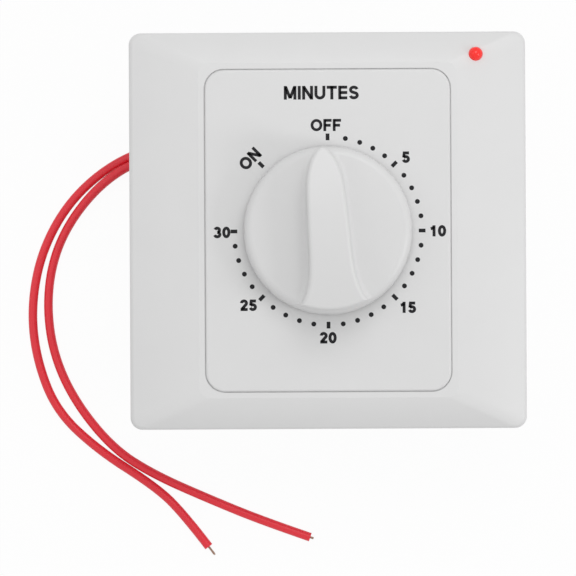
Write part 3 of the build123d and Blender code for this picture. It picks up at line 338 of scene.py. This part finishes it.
write("OFF", (-0.35, 22.7), 2.6, weight=0.235)
write("ON", (-16.8, 15.45), 2.65, turn=45, weight=0.245)
for number, place in (
    ("5", (16.88, 15.69)),
    ("10", (23.63, -0.24)),
    ("15", (17.09, -16.7)),
    ("20", (-0.10, -23.18)),
    ("25", (-17.25, -16.08)),
    ("30", (-22.90, -0.34)),
):
    write(number, place, 2.4, weight=0.27)
write("MINUTES", (-1.3, 29.7), 2.95)

# %% The finished print
dial_mesh = bpy.data.meshes.new("dial_print")
ink.to_mesh(dial_mesh)
ink.free()
dial_print = link(bpy.data.objects.new("dial_print", dial_mesh))
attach(dial_print, "root")
print("inked faces:", len(dial_mesh.polygons))

# %% [markdown]
# ## Shader arithmetic
# A finish is a graph of nodes, which is slow to write out link by link. Here a socket is wrapped
# in a small class, so that `rough + (grain - 0.5) * 0.1` adds its own Math nodes, and one method
# adds every other kind of node from its settings and its sockets.

# %% A socket that can be reckoned with
class Wire:
    """One output of a node, which numbers and other wires can be added to or multiplied by."""

    def __init__(self, paint, socket):
        self.paint = paint
        self.socket = socket

    def _maths(self, operation, first, second):
        return self.paint.node("Math", {"operation": operation}, {0: first, 1: second})

    def __add__(self, other):
        return self._maths("ADD", self, other)

    __radd__ = __add__

    def __sub__(self, other):
        return self._maths("SUBTRACT", self, other)

    def __mul__(self, other):
        return self._maths("MULTIPLY", self, other)


# %% A material under construction
class Paint:
    """Builds one node tree: a new material's, or one that is handed in."""

    def __init__(self, name, tree=None):
        self.material = None if tree else bpy.data.materials.new(name)
        if self.material:
            self.material.use_nodes = True
        self.tree = tree or self.material.node_tree
        self.tree.nodes.clear()

    def node(self, kind, settings=None, sockets=None, output=0):
        """Adds any node: settings first, then the values or wires of its sockets."""
        made = self.tree.nodes.new("ShaderNode" + kind)
        for key, value in (settings or {}).items():
            setattr(made, key, value)
        for key, value in (sockets or {}).items():
            if isinstance(value, Wire):
                self.tree.links.new(value.socket, made.inputs[key])
            else:
                made.inputs[key].default_value = value
        return Wire(self, made.outputs[output]) if made.outputs else None

    def between(self, amount, first, second):
        """A colour between two, by an amount that may change over the surface."""
        return self.node("Mix", {"data_type": "RGBA"}, {0: amount, 6: first, 7: second}, 2)

    def noise(self, size, stretch=(1, 1, 1), detail=3):
        """Soft noise from 0 to 1, with blotches about so many millimetres wide."""
        place = self.node("TexCoord", output="Object")
        place = self.node("VectorMath", {"operation": "MULTIPLY"}, {0: place, 1: stretch})
        sockets = {"Vector": place, "Scale": 1 / (size * MM), "Detail": detail}
        return self.node("TexNoise", {}, sockets)

    def bumps(self, height, depth):
        """A normal from a height that ranges over so many millimetres."""
        return self.node("Bump", {}, {"Strength": 1.0, "Distance": depth * MM, "Height": height})

    def surface(self, colour, roughness, normal, fixed=None):
        """Finishes the material with one Principled shader and gives the material back."""
        sockets = {"Base Color": colour, "Roughness": roughness, "Normal": normal}
        sockets.update(fixed or {})
        self.node("OutputMaterial", {}, {"Surface": self.node("BsdfPrincipled", {}, sockets)})
        return self.material


def shade(colour, amount):
    """A colour made darker or lighter by a factor, with full alpha."""
    return (*[min(1.0, part * amount) for part in colour[:3]], 1.0)


# %% [markdown]
# ## Moulded plastic
# White switch plastic is not a flat grey: the melt leaves faint cloudy patches, the mould's
# polish leaves a very fine grain, and both change how sharp the gloss is. Large soft noise tints
# the colour by one or two percent, small noise moves the roughness and lifts the surface by
# microns.

# %% Plastics
CLOUD_SIZE, CLOUD_DULLS, GRAIN_DULLS = 9, 0.06, 0.12


def moulded(name, colour, roughness, grain=0.3, depth=0.002, cloud=0.015, fixed=None):
    """Injection-moulded plastic with a cloudy tint and a fine grain, sizes in millimetres."""
    paint = Paint(name)
    clouds = paint.noise(CLOUD_SIZE, detail=2)
    fine = paint.noise(grain)
    tint = paint.between(clouds, shade(colour, 1 - cloud), shade(colour, 1 + cloud))
    rough = roughness + (fine - 0.5) * GRAIN_DULLS + (clouds - 0.5) * CLOUD_DULLS
    return paint.surface(tint, rough, paint.bumps(fine, depth), fixed)


finishes = {
    "white_plastic": moulded("plate white", (0.77, 0.77, 0.77), 0.42),
    "cover_plastic": moulded("cover white", (0.762, 0.762, 0.762), 0.44),
    "knob_plastic": moulded("knob white", (0.742, 0.742, 0.742), 0.36),
    "case_plastic": moulded("case white", (0.7, 0.7, 0.67), 0.5, grain=0.5, depth=0.006),
    "holder_plastic": moulded("holder black", (0.03, 0.03, 0.03), 0.5),
    "cam_plastic": moulded("cam nylon", (0.72, 0.66, 0.5), 0.4, cloud=0.03),
    "block_plastic": moulded(
        "phenolic brown", (0.1, 0.045, 0.025), 0.45, grain=0.6, depth=0.01, cloud=0.2
    ),
    "resistor_sleeve": moulded(
        "woven sleeve", (0.6, 0.57, 0.48), 0.75, grain=0.35, depth=0.03, cloud=0.06
    ),
    "wire_insulation": moulded("thin wire cover", (0.025, 0.025, 0.028), 0.4, cloud=0.1),
    "grommet_rubber": moulded(
        "grommet rubber", (0.022, 0.022, 0.022), 0.7, depth=0.008, cloud=0.15
    ),
}
print("plastics:", len(finishes))

# %% [markdown]
# ## Red flex and the red lens
# The flex cover is soft PVC: the extruder draws faint lines and the surface is a bit waxy, so its
# gloss is broad. The lens is clear red plastic with a sharp gloss, and a weak red emission paints
# a glow onto it that brightens its red.

# %% Red finishes
finishes["red_insulation"] = moulded(
    "red flex cover", (0.86, 0.026, 0.045), 0.36, grain=0.5, depth=0.006, cloud=0.06
)
finishes["red_lens"] = moulded(
    "red lens",
    (0.78, 0.009, 0.006),
    0.16,
    grain=1.2,
    depth=0.001,
    cloud=0.05,
    # The weak red emission is a painted glow that brightens the lens.
    fixed={"Emission Color": (1.0, 0.02, 0.01, 1.0), "Emission Strength": 0.26},
)
print("finishes so far:", len(finishes))

# %% [markdown]
# ## Metals
# Sheet, cut and turned metal all show tool marks: fine scratches drawn out in one direction. Noise
# that is squeezed along one axis gives such lines. A slower noise dulls the metal in patches, as
# fingers and air do.

# %% Metals
FILM_SIZE, FILM_DULLS, MARKS_DULL = 5, 0.1, 0.16
FILM_DARK, FILM_LIGHT = 0.9, 1.05


def worked(name, colour, roughness, stretch=(1, 16, 1), marks=0.25, depth=0.003):
    """Bare worked metal with fine marks drawn out along one axis."""
    paint = Paint(name)
    lines = paint.noise(marks, stretch=stretch, detail=4)
    film = paint.noise(FILM_SIZE, detail=2)
    tint = paint.between(film, shade(colour, FILM_DARK), shade(colour, FILM_LIGHT))
    rough = roughness + (lines - 0.5) * MARKS_DULL + (film - 0.5) * FILM_DULLS
    return paint.surface(tint, rough, paint.bumps(lines, depth), {"Metallic": 1.0})


finishes["tinned_wire"] = worked("tinned strands", (0.4, 0.27, 0.21), 0.45, marks=0.1)
finishes["spring_steel"] = worked("blued spring steel", (0.16, 0.19, 0.27), 0.34)
finishes["zinc_steel"] = worked("zinc plated screws", (0.66, 0.66, 0.63), 0.3, stretch=(1, 1, 8))
finishes["zinc_sheet"] = worked("zinc plated sheet", (0.64, 0.65, 0.64), 0.36)
finishes["plate_brass"] = worked("rolled brass", (0.76, 0.56, 0.25), 0.3)
finishes["wheel_brass"] = worked("cut brass", (0.8, 0.6, 0.28), 0.26, stretch=(8, 1, 1))
finishes["turned_steel"] = worked("turned steel", (0.56, 0.56, 0.57), 0.24, stretch=(1, 1, 12))
finishes["leaf_bronze"] = worked("bronze strip", (0.68, 0.4, 0.22), 0.32, stretch=(1, 1, 10))
finishes["contact_silver"] = worked("silver contacts", (0.82, 0.82, 0.8), 0.28)
print("finishes:", sorted(finishes))

# %% Ink
INK_DARK, INK_PALE = (0.008, 0.008, 0.01, 1), (0.016, 0.016, 0.018, 1)
ink_paint = Paint("dial ink")
ink_cover = ink_paint.noise(0.4)
dial_ink = ink_paint.surface(
    ink_paint.between(ink_cover, INK_DARK, INK_PALE),
    0.5 + (ink_cover - 0.5) * 0.2,
    ink_paint.bumps(ink_cover, 0.004),
    {"Specular IOR Level": 0.2},
)

# %% Give every piece its finish
for entry in frame["record"]["subparts"]:
    node = frame["nodes"][entry["node"]]
    for place in node.material_slots:
        place.material = finishes[entry["material_slot"]]
finished_here = (
    (lead_a, finishes["red_insulation"]),
    (lead_b, finishes["red_insulation"]),
    (strands_a, finishes["tinned_wire"]),
    (strands_b, finishes["tinned_wire"]),
    (dial_print, dial_ink),
)
for made, finish in finished_here:
    made.data.materials.clear()
    made.data.materials.append(finish)

# %% [markdown]
# ## Table and light
# The switch lies on plain white. The table is a large sheet that the camera sees as nearly
# white, while it still takes the soft shadow of the plate and the leads. A bright even sky gives
# most of the light. Four soft lamps stand round the switch: beyond OFF, at the right, at the
# upper right and at the left. Their powers are set so that the greys of the plate's slopes and
# of the knob come near the photograph's.

# %% Table
def seen_share(paint, share):
    """How far a ray that looks at the background sees its own white in place of the lit surface."""
    kinds = ("Is Camera Ray", "Is Glossy Ray", "Is Transmission Ray")
    camera_ray, glossy_ray, clear_ray = [paint.node("LightPath", output=kind) for kind in kinds]
    any_ray = camera_ray + glossy_ray + clear_ray
    return paint.node("Math", {"operation": "MINIMUM"}, {0: any_ray, 1: 1.0}) * share


WHITE = (1, 1, 1, 1)
TABLE_COLOUR, TABLE_SEEN = (0.9, 0.9, 0.9, 1), 0.95
TABLE_Z, TABLE_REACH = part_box("case_body")[0][2], 3.0
table_mesh = bpy.data.meshes.new("table")
table_mesh.from_pydata(
    [(x * TABLE_REACH, y * TABLE_REACH, TABLE_Z) for x, y in ((-1, -1), (1, -1), (1, 1), (-1, 1))],
    [],
    [(0, 1, 2, 3)],
)
table = link(bpy.data.objects.new("table", table_mesh))
table_paint = Paint("table white")
lit = table_paint.node("BsdfDiffuse", {}, {"Color": TABLE_COLOUR})
seen = table_paint.node("Emission", {}, {"Color": WHITE, "Strength": 1.0})
share_seen = seen_share(table_paint, TABLE_SEEN)
table_look = table_paint.node("MixShader", {}, {0: share_seen, 1: lit, 2: seen})
table_paint.node("OutputMaterial", {}, {"Surface": table_look})
table_mesh.materials.append(table_paint.material)

# %% Sky
SKY_STRENGTH = 0.623
world = bpy.data.worlds.new("sky")
world.use_nodes = True
bpy.context.scene.world = world
sky = Paint("sky", world.node_tree)
sky_light = sky.node("Background", {}, {"Color": WHITE, "Strength": SKY_STRENGTH})
sky_seen = sky.node("Background", {}, {"Color": WHITE, "Strength": 1.0})
sky_look = sky.node("MixShader", {}, {0: seen_share(sky, 1.0), 1: sky_light, 2: sky_seen})
sky.node("OutputWorld", {}, {"Surface": sky_look})


# %% Lamps
def soft_lamp(name, place, size, power):
    """A square white lamp so many metres wide that faces the origin."""
    lamp = link(bpy.data.objects.new(name, bpy.data.lights.new(name, "AREA")))
    lamp.data.size = size
    lamp.data.energy = power
    lamp.location = place
    lamp.rotation_euler = (-Vector(place)).to_track_quat("-Z", "Y").to_euler()


soft_lamp("top lamp", (0.06, 0.26, 0.46), 0.3, 0.564)
soft_lamp("right lamp", (0.45, -0.12, 0.36), 0.15, 0.441)
soft_lamp("upper right lamp", (0.34, 0.42, 0.72), 0.6, 0.197)
soft_lamp("left lamp", (-0.42, 0.12, 0.45), 0.3, 0.176)
